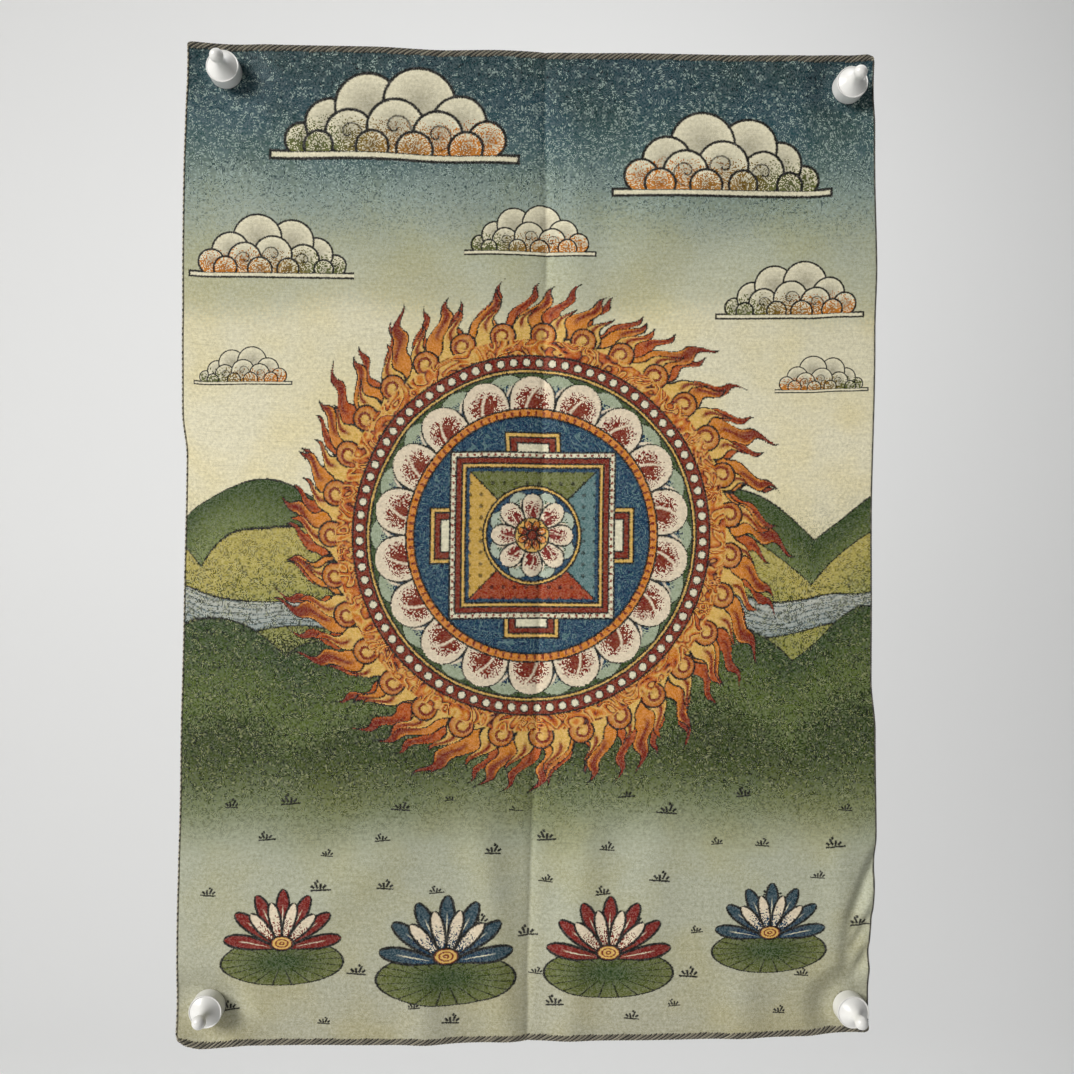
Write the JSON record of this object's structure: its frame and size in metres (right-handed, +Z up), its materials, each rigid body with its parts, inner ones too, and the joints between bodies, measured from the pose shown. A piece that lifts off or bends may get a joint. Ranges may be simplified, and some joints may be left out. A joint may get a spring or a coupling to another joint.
{
  "type": "woven thangka panel with holding magnets",
  "caption": "Portrait brocade panel with overlocked edges and a centre crease, held against a wall by a small white push magnet near each corner.",
  "frame": {"origin": "on the wall plane behind the cloth, on the panel's centre line, level with the two upper magnets", "axes": "+Z up the panel, +X to the right as seen from the front, +Y into the wall, so the face looks along -Y"},
  "size_m": [0.3018, 0.0211, 0.4331],
  "materials": {
    "brocade": "multicoloured jacquard weave, matt with a faint silk sheen, overlocked edges",
    "white_plastic": "moulded white plastic, glossy"
  },
  "bodies": {
    "root": {"panel": "brocade", "magnet_top_left": "white_plastic", "magnet_top_right": "white_plastic", "magnet_bottom_left": "white_plastic", "magnet_bottom_right": "white_plastic"}
  },
  "joints": []
}
